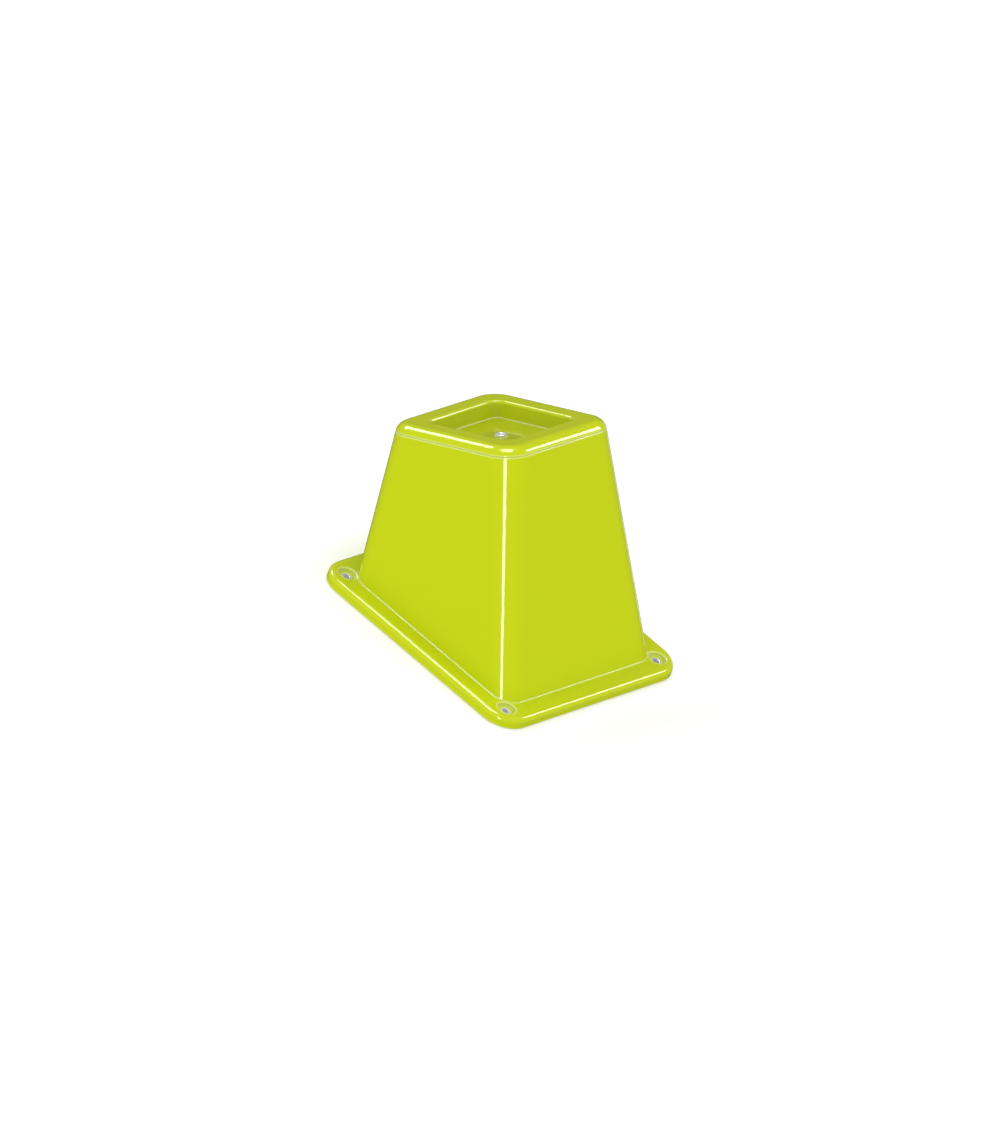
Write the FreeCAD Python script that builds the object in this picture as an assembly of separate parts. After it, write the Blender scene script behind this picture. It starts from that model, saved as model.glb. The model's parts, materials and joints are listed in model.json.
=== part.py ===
"""Mounting block: a hollow tapered pedestal with a pitched bolting flange and a level square seat.

The origin is the centre of the bolt circle, on the underside of the flange. +Z is plumb, and the
seat on top is level. The flange is pitched about the X axis and rises toward +Y. Places on the
flange are given as (u, v, n): u along X, v up the slope, and n square to the slope, upward from
the seating plane. All lengths are in millimetres.
"""
import FreeCAD, Part
import math
import os

from FreeCAD import Rotation, Vector

# ---- pitch and overall sizes ----
pitch_deg = 25.5
seat_height = 214.5        # top land over the origin
seat_offset_y = -3.0       # the seat's plumb axis stands this far from the origin
wall = 5.0                 # moulding wall, measured in the plane of each outline

# ---- flange, in its own pitched plane ----
flange_land = 23.0         # flange outside the body's foot
flange_corner_r = 30.0
flange_t = 12.0
flange_edge_r = 5.5
flange_under_r = 1.2
bolt_out = 1.15            # hole centres this far outside the foot's two sides
sleeve_bore = 6.6
sleeve_wall = 1.95
sleeve_chamfer = 0.5
screw_recess_d = 19.0
screw_recess_depth = 3.5
screw_recess_edge = 0.8

# ---- tapered body ----
foot_side = 230.0
foot_corner_r = 22.0
rim_side = 166.0
rim_corner_r = 28.0
root_r = 1.2
rim_edge_r = 1.0

# ---- cap ----
shoulder_h = 9.5
shoulder_lean = 3.2        # the cap's side leans in this far over its height
shoulder_r = 12.5          # round between the cap's side and its top
cap_roof_t = 6.0
spigot_h = 14.0
spigot_t = 4.0
spigot_gap = 0.3
socket_inset = 28.5        # socket's mouth inside the rim, each side
socket_corner_r = 13.0
socket_draft = 6.0         # floor inside the mouth, each side
socket_floor_r = 8.0
socket_depth = 16.5
socket_lip_r = 3.0
tub_wall = 4.0
tub_floor_t = 5.0

# ---- centre bush, its plate, washer and nut ----
thread_minor_d = 6.8
bush_d = 10.0
collar_d = 12.5
collar_sunk = 1.5          # collar set into the socket floor
collar_proud = 2.0         # collar standing above the socket floor
collar_chamfer = 0.6
bush_gap = 0.2
bush_tail = 1.5
bush_chamfer = 0.6
plate_inset = 4.5          # plate inside the socket floor, each side
plate_corner_r = 8.0
plate_t = 3.0
washer_d = 20.0
washer_t = 1.6
nut_across_flats = 16.0
nut_t = 5.0
thread_gap = 0.05

# ---- cap screws from inside ----
cap_screw_inset = 18.0     # screws inside the rim's two sides
boss_d = 11.0
boss_drop = 8.0            # how far the bosses hang below the spigot
insert_d = 5.6
insert_l = 6.0
screw_d = 4.0
screw_hole_d = 4.5
screw_tip = 1.0            # screw beyond the insert's upper end
screw_head_d = 7.0
screw_head_h = 4.0
screw_hex_af = 3.0
screw_hex_depth = 2.0
screw_head_chamfer = 0.4
screw_washer_d = 9.0
screw_washer_t = 0.8
boss_bore_room = 1.5       # bore left above the screw's tip
lug_t = 6.0
lug_reach = 16.0           # lug inward of its screw
lug_gap = 0.2

# ---- seals ----
gasket_t = 3.0
gasket_rim = 6.0           # flange left outside the gasket
gasket_inner_rim = 3.0     # flange left inside the gasket
gasket_gap = 0.2
sleeve_boss_r = 8.5
seal_w = 2.0
seal_h = 1.5
seal_inset = 1.5           # rim left outside the seal's groove

# ---- stiffening webs ----
web_t = 4.0
web_side_gap = 0.5
web_top_gap = 0.2
web_base_gap = 0.5
web_lap_gap = 0.25
web_notch_w = 30.0
web_notch_drop = 6.0       # notch floor below the bush's tail
rail_t = 3.0
rail_depth = 9.0
rail_gap = 0.25
rail_bite = 1.0            # rails start this far inside the wall
rail_top_drop = 12.0       # rails stop this far below the spigot
rail_base_gap = 2.0

# ---- worked out ----
pitch = math.radians(pitch_deg)
up_slope = Vector(0, math.cos(pitch), math.sin(pitch))
off_slope = Vector(0, -math.sin(pitch), math.cos(pitch))
plumb = Vector(0, 0, 1)
flange_side = foot_side + 2 * flange_land
bolt_square = foot_side + 2 * bolt_out
socket_side = rim_side - 2 * socket_inset
socket_floor_side = socket_side - 2 * socket_draft
plate_side = socket_floor_side - 2 * plate_inset
cap_screw_square = rim_side - 2 * cap_screw_inset
rim_z = seat_height - shoulder_h
socket_floor_z = seat_height - socket_depth
tub_base_z = socket_floor_z - tub_floor_t
plate_base_z = tub_base_z - plate_t
washer_base_z = plate_base_z - washer_t
nut_base_z = washer_base_z - nut_t
bush_base_z = nut_base_z - bush_tail
spigot_base_z = rim_z - spigot_h
boss_base_z = spigot_base_z - boss_drop
lug_base_z = boss_base_z - lug_gap - lug_t
sleeve_od = sleeve_bore + 2 * sleeve_wall
far = 2 * (flange_side + seat_height)   # longer than anything here, for cutting
skin = 0.01                             # slack when picking edges by place


def on_slope(u, v, n=0.0):
    """Point at (u, v, n) of the flange."""
    return Vector(u, 0, 0) + up_slope * v + off_slope * n


def sloped(n):
    """Outline plane parallel to the flange, n above its underside."""
    return lambda u, v: on_slope(u, v, n)


def level(z):
    """Level outline plane at height z, centred on the seat's axis."""
    return lambda u, v: Vector(u, v + seat_offset_y, z)


def rounded_square(side, radius, place):
    """Closed wire of a square with round corners, in the plane that place() gives."""
    half = side / 2
    flat = half - radius
    mid = flat + radius / math.sqrt(2)
    sides = [((half, -flat), (half, flat)), ((flat, half), (-flat, half)),
             ((-half, flat), (-half, -flat)), ((-flat, -half), (flat, -half))]
    corners = [(mid, mid), (-mid, mid), (-mid, -mid), (mid, -mid)]
    edges = []
    for i, (start, end) in enumerate(sides):
        next_start = sides[(i + 1) % len(sides)][0]
        edges.append(Part.LineSegment(place(*start), place(*end)).toShape())
        edges.append(Part.Arc(place(*end), place(*corners[i]), place(*next_start)).toShape())
    return Part.Wire(edges)


def loft(lower, upper):
    """Straight-sided solid between two outlines."""
    return Part.makeLoft([lower, upper], True, True)


def prism(side, radius, place, direction, length):
    """Solid that stands on a rounded square."""
    return Part.Face(rounded_square(side, radius, place)).extrude(direction * length)


def rod(diameter, base, direction, length):
    """Solid cylinder."""
    return Part.makeCylinder(diameter / 2, length, base, direction)


def tube(outer_d, inner_d, base, direction, length):
    """Cylinder with a bore right through."""
    return rod(outer_d, base, direction, length).cut(rod(inner_d, base, direction, length))


def four(square, place):
    """The four corner points of a square pattern."""
    half = square / 2
    return [place(su * half, sv * half) for su in (-1, 1) for sv in (-1, 1)]


def edges_at(shape, height, direction, reach_from=0.0, reach_to=far):
    """Edges that lie at one height along a direction, between two distances from the axis."""
    found = []
    for edge in shape.Edges:
        span = edge.LastParameter - edge.FirstParameter
        points = [edge.valueAt(edge.FirstParameter + span * share) for share in (0, 0.3, 0.7, 1)]
        if any(abs(point.dot(direction) - height) > skin for point in points):
            continue
        if direction == plumb:
            reach = max(max(abs(p.x), abs(p.y - seat_offset_y)) for p in points)
        else:
            reach = max(max(abs(p.x), abs(p.dot(up_slope))) for p in points)
        if reach_from < reach < reach_to:
            found.append(edge)
    return found


def tower(inset):
    """The tapered body's form, drawn in by inset all round."""
    foot = rounded_square(foot_side - 2 * inset, foot_corner_r - inset, sloped(flange_t))
    rim = rounded_square(rim_side - 2 * inset, rim_corner_r - inset, level(rim_z))
    return loft(foot, rim)


def inside(inset):
    """The hollow under the cap, carried straight down through the flange."""
    foot = prism(foot_side - 2 * inset, foot_corner_r - inset, sloped(-flange_t), off_slope,
                 2 * flange_t)
    return tower(inset).fuse(foot)


def above_slope(n):
    """Everything more than n above the seating plane."""
    corner = on_slope(-far / 2, -far / 2, n)
    block = Part.makeBox(far, far, far)
    block.Placement = FreeCAD.Placement(corner, Rotation(Vector(1, 0, 0), pitch_deg))
    return block


def hexagon(across_flats, base, direction, height):
    """Six-sided prism."""
    radius = across_flats / math.sqrt(3)
    side = Vector(1, 0, 0)
    other = direction.cross(side)
    points = []
    for i in range(7):
        angle = math.radians(60 * i)
        points.append(base + side * (radius * math.cos(angle)) + other * (radius * math.sin(angle)))
    return Part.Face(Part.makePolygon(points)).extrude(direction * height)


def seat_point(z):
    """Point on the seat's axis."""
    return Vector(0, seat_offset_y, z)


def gasket_ring(side_gap, thickness):
    """Ring in the flange's underside, with a round hole at each sleeve's boss."""
    outer_inset = gasket_rim + side_gap
    inner_grow = gasket_inner_rim + side_gap - wall
    ring = prism(flange_side - 2 * outer_inset, flange_corner_r - outer_inset, sloped(0),
                 off_slope, thickness)
    ring = ring.cut(prism(foot_side + 2 * inner_grow, foot_corner_r + inner_grow, sloped(0),
                          off_slope, thickness))
    for point in four(bolt_square, sloped(0)):
        ring = ring.cut(rod(2 * (sleeve_boss_r + side_gap), point, off_slope, thickness))
    return ring


def seal_ring():
    """Square-section ring let into the body's rim."""
    outer = rim_side - 2 * seal_inset
    inner = outer - 2 * seal_w
    place = level(rim_z - seal_h)
    ring = prism(outer, rim_corner_r - seal_inset, place, plumb, seal_h)
    return ring.cut(prism(inner, rim_corner_r - seal_inset - seal_w, place, plumb, seal_h))


def guide_rails():
    """Eight rails, a pair in the middle of each inner wall, that hold the webs' edges."""
    band = tower(wall - rail_bite).cut(inside(wall + rail_depth))
    top = spigot_base_z - rail_top_drop
    rails = []
    for side in (-1, 1):
        near = web_t / 2 + rail_gap
        start = near if side > 0 else -near - rail_t
        along_y = Part.makeBox(rail_t, far, far, Vector(start, -far / 2, top - far))
        along_x = Part.makeBox(far, rail_t, far,
                               Vector(-far / 2, seat_offset_y + start, top - far))
        for slab in (along_y, along_x):
            rails.append(slab.common(band))
    joined = rails[0].multiFuse(rails[1:])
    return joined.common(above_slope(flange_t + rail_base_gap))


def screw_lugs():
    """A level lug in each upper corner of the hollow, with a hole for a cap screw."""
    side = foot_side
    inner = cap_screw_square / 2 - lug_reach
    corners = [Part.makeBox(side, side, lug_t, Vector(x, seat_offset_y + y, lug_base_z))
               for x in (inner, -inner - side) for y in (inner, -inner - side)]
    lugs = corners[0].multiFuse(corners[1:]).common(tower(wall - rail_bite))
    for point in four(cap_screw_square, level(lug_base_z)):
        lugs = lugs.cut(rod(screw_hole_d, point, plumb, lug_t))
    return lugs


def body_shell():
    """One moulding: tapered wall, flange, screw lugs and guide rails."""
    flange = prism(flange_side, flange_corner_r, sloped(0), off_slope, flange_t)
    flange = flange.makeFillet(flange_edge_r, edges_at(flange, flange_t, off_slope))
    flange = flange.makeFillet(flange_under_r, edges_at(flange, 0, off_slope))
    solid = tower(0).fuse(flange)
    solid = solid.makeFillet(rim_edge_r, edges_at(solid, rim_z, plumb))
    root = edges_at(solid, flange_t, off_slope, 0, foot_side / 2 + root_r)
    solid = solid.makeFillet(root_r, root)
    for point in four(bolt_square, sloped(flange_t)):
        recess = rod(screw_recess_d, point, off_slope * -1, screw_recess_depth)
        mouth = Part.makeCone(screw_recess_d / 2 + screw_recess_edge, screw_recess_d / 2,
                              screw_recess_edge, point, off_slope * -1)
        solid = solid.cut(recess).cut(mouth)
        solid = solid.cut(rod(sleeve_od, point, off_slope * -1, flange_t))
    solid = solid.cut(inside(wall))
    solid = solid.cut(gasket_ring(0, gasket_t))
    solid = solid.multiFuse([screw_lugs(), guide_rails()])
    return solid.cut(seal_ring()).removeSplitter()


def top_cap():
    """Shoulder, top land, square socket, spigot and four screw bosses."""
    rim = rounded_square(rim_side, rim_corner_r, level(rim_z))
    top = rounded_square(rim_side - 2 * shoulder_lean, rim_corner_r - shoulder_lean,
                         level(seat_height))
    cap = loft(rim, top)
    cap = cap.makeFillet(shoulder_r, edges_at(cap, seat_height, plumb))
    cap = cap.makeFillet(rim_edge_r, edges_at(cap, rim_z, plumb))
    spigot_inset = wall + spigot_gap
    spigot_side = rim_side - 2 * spigot_inset
    spigot_r = rim_corner_r - spigot_inset
    cap = cap.fuse(prism(spigot_side, spigot_r, level(spigot_base_z), plumb, spigot_h))
    roof_z = seat_height - cap_roof_t
    hollow = prism(spigot_side - 2 * spigot_t, spigot_r - spigot_t, level(spigot_base_z), plumb,
                   roof_z - spigot_base_z)
    slope = socket_draft / socket_depth
    tub_base = socket_floor_side + 2 * (tub_wall - slope * tub_floor_t)
    tub_roof = socket_side + 2 * (tub_wall - slope * cap_roof_t)
    tub = loft(rounded_square(tub_base, socket_floor_r + tub_wall, level(tub_base_z)),
               rounded_square(tub_roof, socket_corner_r + tub_wall, level(roof_z)))
    cap = cap.cut(hollow.cut(tub))
    below_tub = prism(spigot_side - 2 * spigot_t, spigot_r - spigot_t, level(tub_base_z - far),
                      plumb, far)
    cap = cap.cut(below_tub)
    bosses = []
    for point in four(cap_screw_square, level(boss_base_z)):
        bosses.append(rod(boss_d, point, plumb, roof_z - boss_base_z))
    cap = cap.multiFuse(bosses)
    bore_l = insert_l + screw_tip + boss_bore_room
    for point in four(cap_screw_square, level(boss_base_z)):
        cap = cap.cut(rod(insert_d, point, plumb, insert_l))
        cap = cap.cut(rod(screw_hole_d, point, plumb, bore_l))
    socket = loft(rounded_square(socket_floor_side, socket_floor_r, level(socket_floor_z)),
                  rounded_square(socket_side, socket_corner_r, level(seat_height)))
    cap = cap.cut(socket)
    lip = edges_at(cap, seat_height, plumb, 0, socket_side / 2 + skin)
    cap = cap.makeFillet(socket_lip_r, lip)
    pocket = rod(collar_d + 2 * bush_gap, seat_point(socket_floor_z), plumb * -1, collar_sunk)
    hole = rod(bush_d + 2 * bush_gap, seat_point(socket_floor_z), plumb * -1, tub_floor_t)
    return cap.cut(pocket).cut(hole).removeSplitter()


def cap_seal():
    """Cord seal, flush with the rim."""
    return seal_ring()


def base_gasket():
    """Full-face gasket, flush with the underside."""
    return gasket_ring(gasket_gap, gasket_t)


def flange_sleeves():
    """Four compression sleeves, from the screw recess down to the seating plane."""
    length = flange_t - screw_recess_depth
    sleeves = []
    for point in four(bolt_square, sloped(0)):
        sleeve = tube(sleeve_od, sleeve_bore, point, off_slope, length)
        ends = [edge for edge in sleeve.Edges
                if abs(edge.BoundBox.Center.dot(off_slope) - length) < skin
                and isinstance(edge.Curve, Part.Circle)]
        sleeves.append(sleeve.makeChamfer(sleeve_chamfer, ends))
    return Part.makeCompound(sleeves)


def centre_bush():
    """Collared bush, threaded right through; the collar centres what stands in the socket."""
    collar_base_z = socket_floor_z - collar_sunk
    collar_top_z = socket_floor_z + collar_proud
    collar = rod(collar_d, seat_point(collar_base_z), plumb, collar_sunk + collar_proud)
    collar = collar.makeChamfer(collar_chamfer, edges_at(collar, collar_top_z, plumb))
    shank = rod(bush_d, seat_point(bush_base_z), plumb, collar_base_z - bush_base_z)
    bush = collar.fuse(shank)
    bush = bush.cut(rod(thread_minor_d, seat_point(bush_base_z), plumb, far))
    mouth = Part.makeCone(thread_minor_d / 2 + bush_chamfer, thread_minor_d / 2, bush_chamfer,
                          seat_point(collar_top_z), plumb * -1)
    return bush.cut(mouth)


def backing_plate():
    """Steel plate under the socket floor."""
    plate = prism(plate_side, plate_corner_r, level(plate_base_z), plumb, plate_t)
    return plate.cut(rod(bush_d + 2 * bush_gap, seat_point(plate_base_z), plumb, plate_t))


def bush_washer():
    """Plain washer on the bush."""
    return tube(washer_d, bush_d + 2 * bush_gap, seat_point(washer_base_z), plumb, washer_t)


def bush_nut():
    """Thin hexagon nut on the bush, with turned corners."""
    nut = hexagon(nut_across_flats, seat_point(nut_base_z), plumb, nut_t)
    corner_r = nut_across_flats / math.sqrt(3)
    flat_r = nut_across_flats / 2
    taper = flat_r - corner_r
    lower = Part.makeCone(flat_r, corner_r, -taper, seat_point(nut_base_z), plumb)
    middle = rod(2 * corner_r, seat_point(nut_base_z - taper), plumb, nut_t + 2 * taper)
    upper = Part.makeCone(corner_r, flat_r, -taper, seat_point(washer_base_z + taper), plumb)
    nut = nut.common(lower.fuse(middle).fuse(upper)).removeSplitter()
    return nut.cut(rod(bush_d + 2 * thread_gap, seat_point(nut_base_z), plumb, nut_t))


def cap_inserts():
    """Four threaded inserts in the cap's bosses."""
    bore = screw_d + 2 * thread_gap
    return Part.makeCompound([tube(insert_d, bore, point, plumb, insert_l)
                              for point in four(cap_screw_square, level(boss_base_z))])


def cap_washers():
    """Four washers under the screw heads."""
    base = lug_base_z - screw_washer_t
    return Part.makeCompound([tube(screw_washer_d, screw_hole_d, point, plumb, screw_washer_t)
                              for point in four(cap_screw_square, level(base))])


def cap_screws():
    """Four socket-head screws that point up."""
    head_top = lug_base_z - screw_washer_t
    shank = boss_base_z + insert_l + screw_tip - head_top
    screws = []
    for point in four(cap_screw_square, level(head_top)):
        head = rod(screw_head_d, point, plumb * -1, screw_head_h)
        head = head.makeChamfer(screw_head_chamfer,
                                edges_at(head, head_top - screw_head_h, plumb))
        drive = hexagon(screw_hex_af, point - plumb * screw_head_h, plumb, screw_hex_depth)
        screws.append(head.cut(drive).fuse(rod(screw_d, point, plumb, shank)).removeSplitter())
    return Part.makeCompound(screws)


def web_blank(size_x, size_y):
    """Plate that fills the hollow on the seat's axis, from the base up to the backing plate."""
    top = plate_base_z - web_top_gap
    plate = Part.makeBox(size_x, size_y, far,
                         Vector(-size_x / 2, seat_offset_y - size_y / 2, top - far))
    plate = plate.common(inside(wall + web_side_gap)).common(above_slope(web_base_gap))
    notch_z = bush_base_z - web_notch_drop
    notch = Part.makeBox(web_notch_w, web_notch_w, far,
                         Vector(-web_notch_w / 2, seat_offset_y - web_notch_w / 2, notch_z))
    return plate.cut(notch)


def lap_z():
    """Height at which the two webs change over."""
    return (bush_base_z - web_notch_drop + seat_offset_y * math.tan(pitch)) / 2


def lap_slot(base_z):
    """Slot on the seat's axis, from base_z up."""
    width = web_t + 2 * web_lap_gap
    return Part.makeBox(width, width, far,
                        Vector(-width / 2, seat_offset_y - width / 2, base_z))


def web_long():
    """Web in the plane of the slope, slotted from below."""
    return web_blank(web_t, far).cut(lap_slot(lap_z() + web_lap_gap - far))


def web_cross():
    """Web square to the slope, slotted from above."""
    return web_blank(far, web_t).cut(lap_slot(lap_z() - web_lap_gap))


makers = (body_shell, top_cap, cap_seal, base_gasket, flange_sleeves, centre_bush, backing_plate,
          bush_washer, bush_nut, cap_inserts, cap_washers, cap_screws, web_long, web_cross)

os.makedirs("parts", exist_ok=True)
for maker in makers:
    name = maker.__name__
    shape = maker()
    print(name, "valid", shape.isValid(), "solids", len(shape.Solids), "volume", round(shape.Volume))
    shape.exportStep("parts/" + name + ".step")
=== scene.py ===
"""Looks of the mounting block: materials, threaded metal pieces, floor, light and camera."""

import json
import math

import bmesh
import bpy
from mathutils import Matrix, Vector


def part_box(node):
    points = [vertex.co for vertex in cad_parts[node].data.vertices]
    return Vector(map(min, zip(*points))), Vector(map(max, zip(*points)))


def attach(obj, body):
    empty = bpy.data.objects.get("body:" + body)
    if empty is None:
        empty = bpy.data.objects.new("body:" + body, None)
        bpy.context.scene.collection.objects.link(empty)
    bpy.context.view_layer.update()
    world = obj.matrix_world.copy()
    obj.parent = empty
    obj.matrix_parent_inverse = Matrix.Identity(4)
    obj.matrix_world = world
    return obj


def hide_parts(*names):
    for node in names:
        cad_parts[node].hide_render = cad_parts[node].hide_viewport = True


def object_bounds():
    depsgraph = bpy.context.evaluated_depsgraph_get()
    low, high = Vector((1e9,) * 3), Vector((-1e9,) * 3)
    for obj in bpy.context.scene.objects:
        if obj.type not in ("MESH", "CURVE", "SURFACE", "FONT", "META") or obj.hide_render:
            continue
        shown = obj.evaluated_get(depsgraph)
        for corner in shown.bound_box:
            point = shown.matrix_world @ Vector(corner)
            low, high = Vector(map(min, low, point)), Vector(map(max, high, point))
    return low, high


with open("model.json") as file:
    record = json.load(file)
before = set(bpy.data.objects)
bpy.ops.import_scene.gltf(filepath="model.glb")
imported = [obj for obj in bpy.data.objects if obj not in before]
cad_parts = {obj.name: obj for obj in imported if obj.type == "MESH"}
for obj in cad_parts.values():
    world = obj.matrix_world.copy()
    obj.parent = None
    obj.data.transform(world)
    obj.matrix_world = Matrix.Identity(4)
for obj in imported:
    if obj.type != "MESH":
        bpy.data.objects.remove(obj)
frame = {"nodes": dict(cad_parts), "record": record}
cad_low, cad_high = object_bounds()

MM = 0.001

# ---- sizes shared with the CAD parts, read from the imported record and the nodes' boxes ----
mounts = {mount["name"]: mount for mount in frame["record"]["mounts"]}
down_slope = Vector(mounts["base_bolts"]["axis"])      # out of the flange's underside
pitch = math.atan2(down_slope.y, -down_slope.z)
seat_axis_y = mounts["seat_thread"]["pos_m"][1]
thread_minor_r = mounts["seat_thread"]["dims"]["r_mm"] * MM
socket_floor_z = mounts["seat_face"]["pos_m"][2]
socket_half, socket_lip = 54.5 * MM, 3.0 * MM
slot_of = {row["node"]: row["material_slot"] for row in frame["record"]["subparts"]}


# ---- node helpers ----
def feed(tree, socket, value):
    """Links another node's output to the socket, or sets the socket to a plain value."""
    if isinstance(value, bpy.types.NodeSocket):
        tree.links.new(value, socket)
    else:
        socket.default_value = value


def add_node(tree, kind, inputs=None, **settings):
    """Adds one node; inputs are by name or number, settings are its own attributes."""
    node = tree.nodes.new(kind)
    for key, value in settings.items():
        setattr(node, key, value)
    for key, value in (inputs or {}).items():
        feed(tree, node.inputs[key], value)
    return node


class Nodes:
    """Short way to add and link the shader nodes of one material."""

    mix_factor, mix_first, mix_second, mix_result = 0, 6, 7, 2   # colour sockets of a Mix node
    edge_samples = 6
    edge_full = 0.93                   # cosine at which an edge counts in full

    def __init__(self, name):
        self.material = bpy.data.materials.new(name)
        self.material.use_nodes = True
        self.tree = self.material.node_tree
        self.shader = self.tree.nodes["Principled BSDF"]
        self.place = self.add("ShaderNodeTexCoord").outputs["Object"]

    def add(self, kind, inputs=None, **settings):
        return add_node(self.tree, kind, inputs, **settings)

    def set(self, **inputs):
        """Sets or links inputs of the material's shader; _ stands for a space in their names."""
        for key, value in inputs.items():
            feed(self.tree, self.shader.inputs[key.replace("_", " ")], value)

    def noise(self, scale, detail=2.0, roughness=0.5):
        node = self.add("ShaderNodeTexNoise", {"Vector": self.place, "Scale": scale,
                                               "Detail": detail, "Roughness": roughness})
        return node.outputs["Fac"]

    def streaks(self, squeeze, scale, detail):
        """Noise drawn out along the axes that are squeezed the least."""
        drawn_out = self.add("ShaderNodeMapping", {"Vector": self.place, "Scale": squeeze})
        node = self.add("ShaderNodeTexNoise", {"Vector": drawn_out.outputs["Vector"],
                                               "Scale": scale, "Detail": detail})
        return node.outputs["Fac"]

    def ramp(self, value, low, high):
        """Maps 0..1 to low..high."""
        node = self.add("ShaderNodeMapRange", {"Value": value, "To Min": low, "To Max": high})
        return node.outputs["Result"]

    def math(self, operation, first, second=0.0):
        node = self.add("ShaderNodeMath", {0: first, 1: second}, operation=operation)
        return node.outputs["Value"]

    def mix(self, factor, first, second):
        """Blends from the first colour at 0 to the second at 1."""
        node = self.add("ShaderNodeMix", data_type="RGBA")
        feed(self.tree, node.inputs[self.mix_factor], factor)
        feed(self.tree, node.inputs[self.mix_first], first)
        feed(self.tree, node.inputs[self.mix_second], second)
        return node.outputs[self.mix_result]

    def bump(self, height, distance, strength=1.0, normal=None):
        inputs = {"Height": height, "Distance": distance, "Strength": strength}
        if normal is not None:
            inputs["Normal"] = normal
        return self.add("ShaderNodeBump", inputs).outputs["Normal"]

    def edges(self, radius):
        """0 on flat stretches, rising to 1 on edges that are sharper than the radius."""
        bevel = self.add("ShaderNodeBevel", {"Radius": radius}, samples=self.edge_samples)
        geometry = self.add("ShaderNodeNewGeometry")
        dot = self.add("ShaderNodeVectorMath", {0: bevel.outputs["Normal"],
                                                1: geometry.outputs["Normal"]},
                       operation="DOT_PRODUCT")
        spread = self.add("ShaderNodeMapRange", {"Value": dot.outputs["Value"], "From Min": 1.0,
                                                 "From Max": self.edge_full})
        return spread.outputs["Result"]

    def in_socket(self):
        """1 on the walls and floor of the seat's socket, 0 elsewhere; marks where shade is painted
        on the lime plastic.
        """
        place = self.add("ShaderNodeSeparateXYZ", {"Vector": self.place}).outputs
        off_axis = self.math("ABSOLUTE", self.math("SUBTRACT", place["Y"], seat_axis_y))
        reach = self.math("MAXIMUM", self.math("ABSOLUTE", place["X"]), off_axis)
        across = self.math("LESS_THAN", reach, socket_half)
        above = self.math("GREATER_THAN", place["Z"], socket_floor_z - MM)
        below = self.math("LESS_THAN", place["Z"], cad_high.z - socket_lip)
        return self.math("MULTIPLY", across, self.math("MULTIPLY", above, below))


# ---- materials, one to a slot; each function has its slot's name ----
def lime_plastic():
    """Glossy moulded lime plastic: fine grain, painted shade in the socket, paler edges that are
    partly edge wear and partly painted highlight.
    """
    n = Nodes("lime_plastic")
    lime, warm_lime = (0.550, 0.644, 0.0, 1), (0.574, 0.672, 0.001, 1)
    shaded_lime, pale_highlight_lime = (0.440, 0.520, 0.0, 1), (0.86, 0.90, 0.42, 1)
    drift = n.mix(n.noise(9.0, 3.0), lime, warm_lime)
    # painted shade: the socket's walls and floor are blended towards a darker lime, standing in
    # for the shade in that recess
    socket_painted_shade = n.math("MULTIPLY", n.in_socket(), n.ramp(n.noise(700.0, 3.0), 0.75, 1.0))
    # paler edges: partly edge wear, partly painted highlight standing in for light caught along
    # edges and fillets
    worn_and_highlit = n.mix(n.edges(2.4 * MM), n.mix(socket_painted_shade, drift, shaded_lime), pale_highlight_lime)
    peel = n.bump(n.noise(220.0, 2.0), 0.04 * MM, 0.3)
    grain = n.bump(n.noise(2600.0, 3.0, 0.6), 0.015 * MM, 0.6, peel)
    n.set(Base_Color=worn_and_highlit, Roughness=n.ramp(n.noise(45.0, 4.0), 0.42, 0.5), IOR=1.46,
          Specular_IOR_Level=0.06, Coat_Weight=1.0, Coat_Roughness=0.09, Normal=grain)
    return n.material


def epdm():
    """Matte black closed-cell rubber."""
    n = Nodes("epdm")
    black, dusty_black = (0.012, 0.012, 0.013, 1), (0.03, 0.03, 0.03, 1)
    cells = n.add("ShaderNodeTexVoronoi", {"Vector": n.place, "Scale": 1500.0})
    n.set(Base_Color=n.mix(n.noise(60.0, 4.0), black, dusty_black),
          Roughness=n.ramp(n.noise(400.0), 0.72, 0.9),
          Normal=n.bump(cells.outputs["Distance"], 0.08 * MM, 0.5))
    return n.material


def zinc_steel():
    """Satin zinc plate: crystalline bloom, faint brushed streak and blue-yellow drift."""
    n = Nodes("zinc_steel")
    bluish, yellowish, bare = (0.82, 0.83, 0.86, 1), (0.88, 0.87, 0.84, 1), (0.95, 0.95, 0.95, 1)
    streak = n.streaks((3.0, 60.0, 60.0), 60.0, 3.0)
    bloom = n.add("ShaderNodeTexVoronoi", {"Vector": n.place, "Scale": 1400.0})
    drift = n.mix(n.noise(120.0, 3.0), bluish, yellowish)
    n.set(Base_Color=n.mix(n.edges(0.35 * MM), drift, bare),
          Metallic=0.55, Roughness=n.ramp(streak, 0.26, 0.42),
          Normal=n.bump(bloom.outputs["Distance"], 0.01 * MM, 0.4,
                        n.bump(streak, 0.01 * MM, 0.5)))
    return n.material


def brass():
    """Turned brass."""
    n = Nodes("brass")
    brown_brass, bright_brass = (0.66, 0.46, 0.17, 1), (0.76, 0.55, 0.23, 1)
    rings = n.add("ShaderNodeTexWave", {"Vector": n.place, "Scale": 900.0, "Distortion": 0.6},
                  bands_direction="Z")
    n.set(Base_Color=n.mix(n.noise(300.0), brown_brass, bright_brass),
          Metallic=1.0, Roughness=0.3, Normal=n.bump(rings.outputs["Fac"], 0.01 * MM, 0.6))
    return n.material


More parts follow.
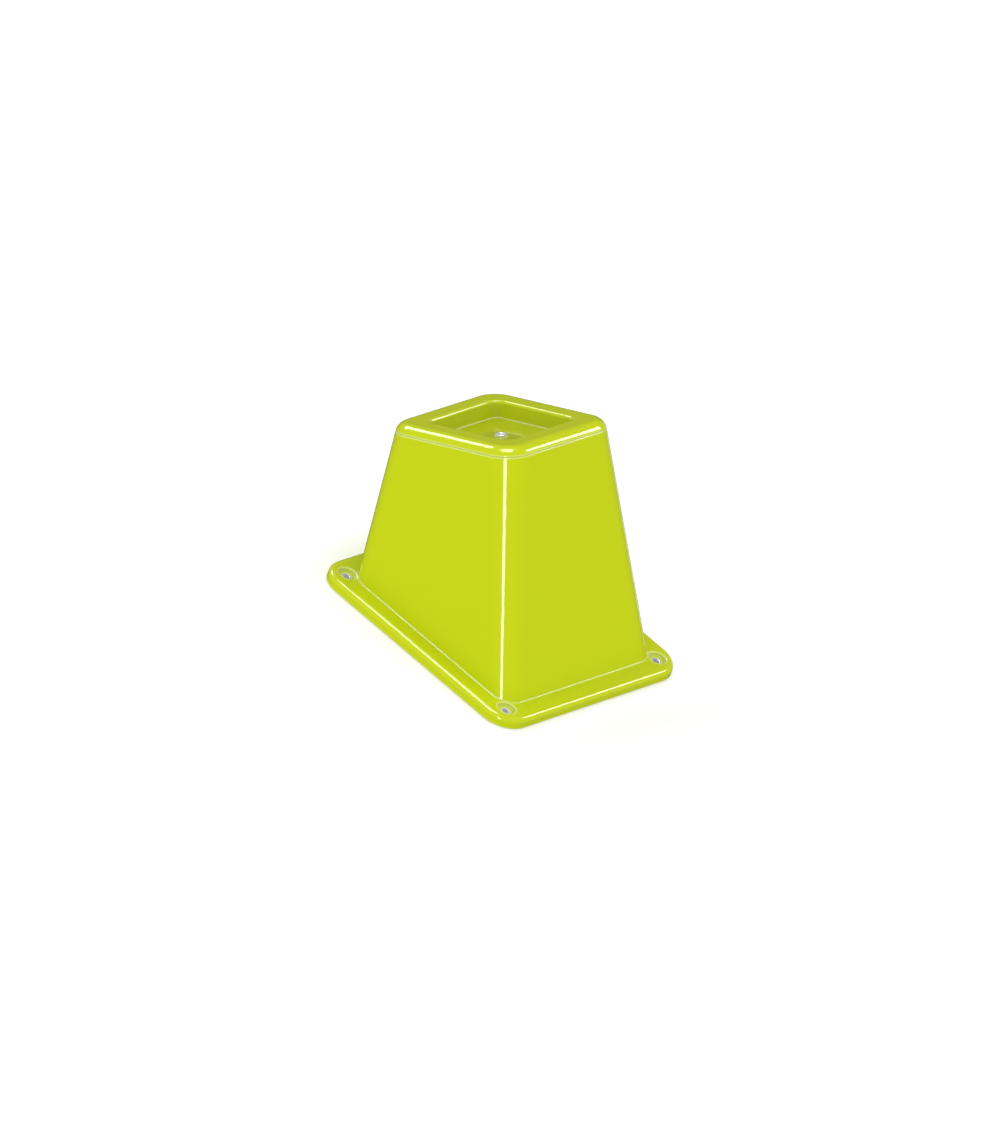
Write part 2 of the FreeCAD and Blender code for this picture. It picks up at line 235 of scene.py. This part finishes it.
def web_plastic():
    """Charcoal sheet with saw-cut grain."""
    n = Nodes("web_plastic")
    charcoal, dusty_charcoal = (0.05, 0.053, 0.056, 1), (0.085, 0.09, 0.095, 1)
    saw_marks = n.streaks((1.0, 1.0, 14.0), 130.0, 4.0)
    n.set(Base_Color=n.mix(n.noise(30.0, 4.0), charcoal, dusty_charcoal),
          Roughness=n.ramp(saw_marks, 0.5, 0.68), Normal=n.bump(saw_marks, 0.05 * MM, 0.4))
    return n.material


def dress_nodes():
    """Gives every CAD node the full material of its slot."""
    makers = (lime_plastic, epdm, zinc_steel, brass, web_plastic)
    finished = {maker.__name__: maker() for maker in makers}
    for node, piece in frame["nodes"].items():
        for slot in piece.material_slots:
            slot.material = finished[slot_of[node]]
    return finished


# ---- threaded metal pieces ----
turn_steps = 72                        # points round one ring
thread_rows = 6                        # rings to one thread pitch
flank_slope, crest_land = 2.6, 0.15    # how steeply a flank falls, and how wide the crest stays
sharp_edge = math.radians(32)          # from this angle on, an edge is shaded sharp
bush_shank_d, bush_collar_h, bush_chamfer = 10.0, 3.5, 0.6
bush_bore_pitch, bush_bore_depth = 1.25, 0.6
bush_shank_pitch, bush_shank_depth = 1.0, 0.5
screw_d, screw_pitch, screw_depth = 4.0, 0.7, 0.38
screw_head_d, screw_head_h, screw_head_chamfer = 7.0, 4.0, 0.4
screw_hex_af, screw_hex_depth, knurl_depth = 3.0, 2.0, 0.12


def ring(z, radius):
    """One ring of a turned piece; radius is a number or a rule for the angle, all in mm."""
    rule = radius if callable(radius) else (lambda angle: radius)
    angles = [2 * math.pi * i / turn_steps for i in range(turn_steps)]
    return [(rule(angle) * math.cos(angle), rule(angle) * math.sin(angle), z) for angle in angles]


def thread(z_from, z_to, crest_r, root_r, lead):
    """Rings of a screw thread that fades out over its first and last half turn."""
    count = max(2, round(abs(z_to - z_from) / lead * thread_rows))
    rings = []
    for row in range(count + 1):
        z = z_from + (z_to - z_from) * row / count
        fade = min(1.0, 2 * abs(z - z_from) / lead, 2 * abs(z - z_to) / lead)

        def rule(angle, z=z, fade=fade):
            phase = (z / lead - angle / (2 * math.pi)) % 1.0
            fall = min(1.0, max(0.0, flank_slope * abs(phase - 0.5) - crest_land))
            return crest_r + (root_r - crest_r) * fall * fade

        rings.append(ring(z, rule))
    return rings


def hexagon(across_flats):
    """Rule for a ring that follows a hexagon."""
    def rule(angle):
        off_flat = (angle % (math.pi / 3)) - math.pi / 6
        return across_flats / 2 / math.cos(off_flat)
    return rule


def knurl(radius):
    """Rule for a ring with straight knurling."""
    step = 2 * math.pi / turn_steps

    def rule(angle):
        return radius - (knurl_depth if round(angle / step) % 2 else 0.0)
    return rule


def turned(name, rings, places, closed, node):
    """Mesh of the same rings at each place, in place of a CAD node.

    A closed one joins its last ring to its first; any other has a face on both ends.
    """
    mesh = bpy.data.meshes.new(name)
    verts, faces = [], []
    for place in places:
        base = len(verts)
        for one in rings:
            verts += [(place[0] + x * MM, place[1] + y * MM, place[2] + z * MM)
                      for x, y, z in one]
        rows = len(rings) if closed else len(rings) - 1
        for row in range(rows):
            lower, upper = base + row * turn_steps, base + (row + 1) % len(rings) * turn_steps
            for i in range(turn_steps):
                j = (i + 1) % turn_steps
                faces.append((lower + i, lower + j, upper + j, upper + i))
        if not closed:
            top = base + (len(rings) - 1) * turn_steps
            faces.append(tuple(base + i for i in reversed(range(turn_steps))))
            faces.append(tuple(top + i for i in range(turn_steps)))
    mesh.from_pydata(verts, [], faces)
    mesh.validate()
    bm = bmesh.new()
    bm.from_mesh(mesh)
    bmesh.ops.recalc_face_normals(bm, faces=bm.faces)
    bm.to_mesh(mesh)
    bm.free()
    mesh.shade_smooth()
    piece = bpy.data.objects.new(name, mesh)
    bpy.context.collection.objects.link(piece)
    mesh.set_sharp_from_angle(angle=sharp_edge)
    mesh.materials.append(finishes[slot_of[node]])
    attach(piece, "root")
    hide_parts(node)


def threaded_bush():
    """Collared bush with a real thread in its bore and on its shank."""
    low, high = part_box("centre_bush")
    height = (high.z - low.z) / MM
    collar_r = (high.x - low.x) / MM / 2
    shank_r, bore_r = bush_shank_d / 2, thread_minor_r / MM
    collar_z = height - bush_collar_h
    c = bush_chamfer
    rings = [ring(0, bore_r + bush_bore_depth), ring(0, shank_r - c), ring(c, shank_r)]
    rings += thread(c, collar_z - 2 * c, shank_r, shank_r - bush_shank_depth, bush_shank_pitch)[1:]
    rings += [ring(collar_z, shank_r), ring(collar_z, collar_r), ring(height - c, collar_r),
              ring(height, collar_r - c), ring(height, bore_r + bush_bore_depth)]
    rings += thread(height - bush_bore_depth, bush_bore_depth, bore_r,
                    bore_r + bush_bore_depth, bush_bore_pitch)
    turned("centre_bush_threaded", rings, [(0, (low.y + high.y) / 2, low.z)], True, "centre_bush")


def knurled_screws():
    """Four socket-head screws with knurled heads and threaded shanks."""
    low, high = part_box("cap_screws")
    length = (high.z - low.z) / MM
    head_r, shank_r, c = screw_head_d / 2, screw_d / 2, screw_head_chamfer
    hex_rule, knurl_rule = hexagon(screw_hex_af), knurl(head_r)
    rings = [ring(screw_hex_depth, hex_rule), ring(0, hex_rule), ring(0, head_r - c),
             ring(c, knurl_rule), ring(screw_head_h, knurl_rule), ring(screw_head_h, shank_r)]
    rings += thread(screw_head_h + c, length - c, shank_r, shank_r - screw_depth, screw_pitch)
    rings += [ring(length, shank_r - c)]
    places = [(low.x + head_r * MM, y, low.z) for y in (low.y + head_r * MM, high.y - head_r * MM)]
    places += [(high.x - head_r * MM, y, z) for x, y, z in places]
    turned("cap_screws_knurled", rings, places, False, "cap_screws")


# ---- floor, in metres ----
floor_half, floor_steps = 7.0, 180     # half its width, and squares from edge to edge
floor_crowding = 2.6                   # above 1 the squares are smaller near the middle
swell_x, swell_y = 0.165, 0.150        # half the rectangle that follows the flange
swell_fade = 0.42                      # from that rectangle out to level ground
floor_gap, swell_gap = 2 * MM, 0.3 * MM


def floor_point(column, row):
    """Point of the floor's grid: on the flange's slope near the block, level further out."""
    x, y = (floor_half * math.copysign(abs(share) ** floor_crowding, share)
            for share in (2 * column / floor_steps - 1, 2 * row / floor_steps - 1))
    near_y = min(max(y, -swell_y), swell_y)
    out = min(math.hypot(max(abs(x) - swell_x, 0), y - near_y) / swell_fade, 1)
    weight = 1 - out * out * (3 - 2 * out)
    level_z = cad_low.z - floor_gap
    slope_z = near_y * math.tan(pitch) - swell_gap
    return x, y, level_z + (slope_z - level_z) * weight


def pale_floor():
    """Level floor that swells up to meet the flange's pitched underside."""
    across = floor_steps + 1
    verts = [floor_point(column, row) for row in range(across) for column in range(across)]
    faces = []
    for row in range(floor_steps):
        for column in range(floor_steps):
            first = row * across + column
            faces.append((first, first + 1, first + 1 + across, first + across))
    mesh = bpy.data.meshes.new("pale_floor")
    mesh.from_pydata(verts, [], faces)
    mesh.shade_smooth()
    floor = bpy.data.objects.new("pale_floor", mesh)
    bpy.context.collection.objects.link(floor)
    n = Nodes("pale_floor")
    n.set(Base_Color=n.mix(n.noise(6.0), (0.96, 0.96, 0.96, 1), (0.98, 0.98, 0.98, 1)),
          Roughness=0.9, Specular_IOR_Level=0.1,
          Emission_Color=(1, 1, 1, 1), Emission_Strength=0.11)
    mesh.materials.append(n.material)
    floor.visible_glossy = False
    floor.visible_diffuse = False
    floor.visible_shadow = False


# ---- light ----
world_level = 1.16                     # what matte surfaces see, over the shares below
world_nadir, world_horizon, world_zenith = 0.35, 1.0, 0.95
world_far_side = 0.60                  # share left on the far side
world_mirror = 0.07                    # what shiny surfaces see
far_direction = (0.8, 0.6, 0.0)


def studio_world():
    """White surround for the camera, a soft one for matte shading, a dim one for reflections."""
    world = bpy.data.worlds.new("studio")
    bpy.context.scene.world = world
    world.use_nodes = True
    tree = world.node_tree
    ray = add_node(tree, "ShaderNodeLightPath").outputs
    direction = add_node(tree, "ShaderNodeTexCoord").outputs["Generated"]

    def pick(is_kind, otherwise, level):
        """Level where the ray is of this kind, and the other value elsewhere."""
        node = add_node(tree, "ShaderNodeMapRange", {"Value": ray[is_kind], "To Min": otherwise,
                                                     "To Max": level})
        return node.outputs["Result"]

    height = add_node(tree, "ShaderNodeSeparateXYZ", {"Vector": direction}).outputs["Z"]
    rise = add_node(tree, "ShaderNodeMapRange", {"Value": height, "From Min": -1.0})
    by_height = add_node(tree, "ShaderNodeFloatCurve", {"Value": rise.outputs["Result"]})
    points = by_height.mapping.curves[0].points
    points[0].location = (0.0, world_nadir)
    points[1].location = (1.0, world_zenith)
    points.new(0.5, world_horizon)
    by_height.mapping.update()
    turned_away = add_node(tree, "ShaderNodeVectorMath", {0: direction, 1: far_direction},
                           operation="DOT_PRODUCT")
    by_side = add_node(tree, "ShaderNodeMapRange", {"Value": turned_away.outputs["Value"],
                                                    "To Min": world_level,
                                                    "To Max": world_level * world_far_side})
    matte = add_node(tree, "ShaderNodeMath", {0: by_height.outputs["Value"],
                                              1: by_side.outputs["Result"]},
                     operation="MULTIPLY")
    unseen = pick("Is Glossy Ray", matte.outputs["Value"], world_mirror)
    surround = tree.nodes["Background"]
    feed(tree, surround.inputs["Color"], (1, 1, 1, 1))
    feed(tree, surround.inputs["Strength"], pick("Is Camera Ray", unseen, 1.0))


def look_back(azimuth, elevation):
    """Unit vector from the block towards an onlooker; the azimuth runs from -Y towards -X."""
    return Vector((-math.sin(azimuth) * math.cos(elevation),
                   -math.cos(azimuth) * math.cos(elevation), math.sin(elevation)))


def softbox(name, azimuth, elevation, distance, width, height, radiance):
    """Rectangular lamp that looks at the block's middle and only shows in its gloss."""
    back = look_back(math.radians(azimuth), math.radians(elevation))
    data = bpy.data.lights.new(name, "AREA")
    data.shape = "RECTANGLE"
    data.size, data.size_y = width, height
    data.energy = radiance * math.pi * width * height
    lamp = bpy.data.objects.new(name, data)
    lamp.location = (cad_low + cad_high) / 2 + back * distance
    lamp.rotation_mode = "QUATERNION"
    lamp.rotation_quaternion = (-back).to_track_quat("-Z", "Y")
    lamp.visible_diffuse = False
    lamp.visible_camera = False
    bpy.context.collection.objects.link(lamp)


# name, azimuth and elevation in degrees, distance, width and height in metres, radiance
softboxes = (
    ("overhead", 49.4, 80.0, 2.4, 1.3, 1.3, 10.0),        # upper rounded edges
    ("corner_strip", 56.0, 0.0, 3.0, 0.58, 1.3, 13.0),    # the near upright corner
    ("left_high", 182.0, 48.0, 2.4, 0.78, 0.6, 11.0),     # rounded edges that face left
    ("right_high", -56.5, 28.5, 2.4, 0.37, 0.67, 14.0),   # rounded edges that face right
    ("right_edge", -101.0, -3.0, 2.6, 0.34, 1.7, 1.3),    # the far upright corner on the right
)


# ---- camera ----
view_azimuth = math.radians(49.4)      # from -Y towards -X
view_elevation = math.radians(16.25)
frame_height = 1.125                   # metres seen from top to bottom of the picture
lens_mm, sensor_mm = 700.0, 36.0
clip_end = 100.0
rim_below_seat = 9.5 * MM
seat_right, seat_up = 1.1 * MM, 133.7 * MM   # the rim's centre from the picture's centre


def make_camera():
    """Camera with a long lens, so that parallel edges stay parallel."""
    back = look_back(view_azimuth, view_elevation)
    right = Vector((math.cos(view_azimuth), -math.sin(view_azimuth), 0))
    up = back.cross(right)
    rim_centre = Vector((0, seat_axis_y, cad_high.z - rim_below_seat))
    aim = rim_centre - right * seat_right - up * seat_up
    data = bpy.data.cameras.new("camera")
    data.lens, data.sensor_width = lens_mm, sensor_mm
    data.clip_end = clip_end
    camera = bpy.data.objects.new("camera", data)
    camera.location = aim + back * (lens_mm / sensor_mm * frame_height)
    camera.rotation_mode = "QUATERNION"
    camera.rotation_quaternion = (-back).to_track_quat("-Z", "Y")
    bpy.context.collection.objects.link(camera)
    bpy.context.scene.camera = camera


make_camera()
finishes = dress_nodes()
threaded_bush()
knurled_screws()
pale_floor()
studio_world()
for row in softboxes:
    softbox(*row)
bpy.context.scene.view_settings.view_transform = "Standard"
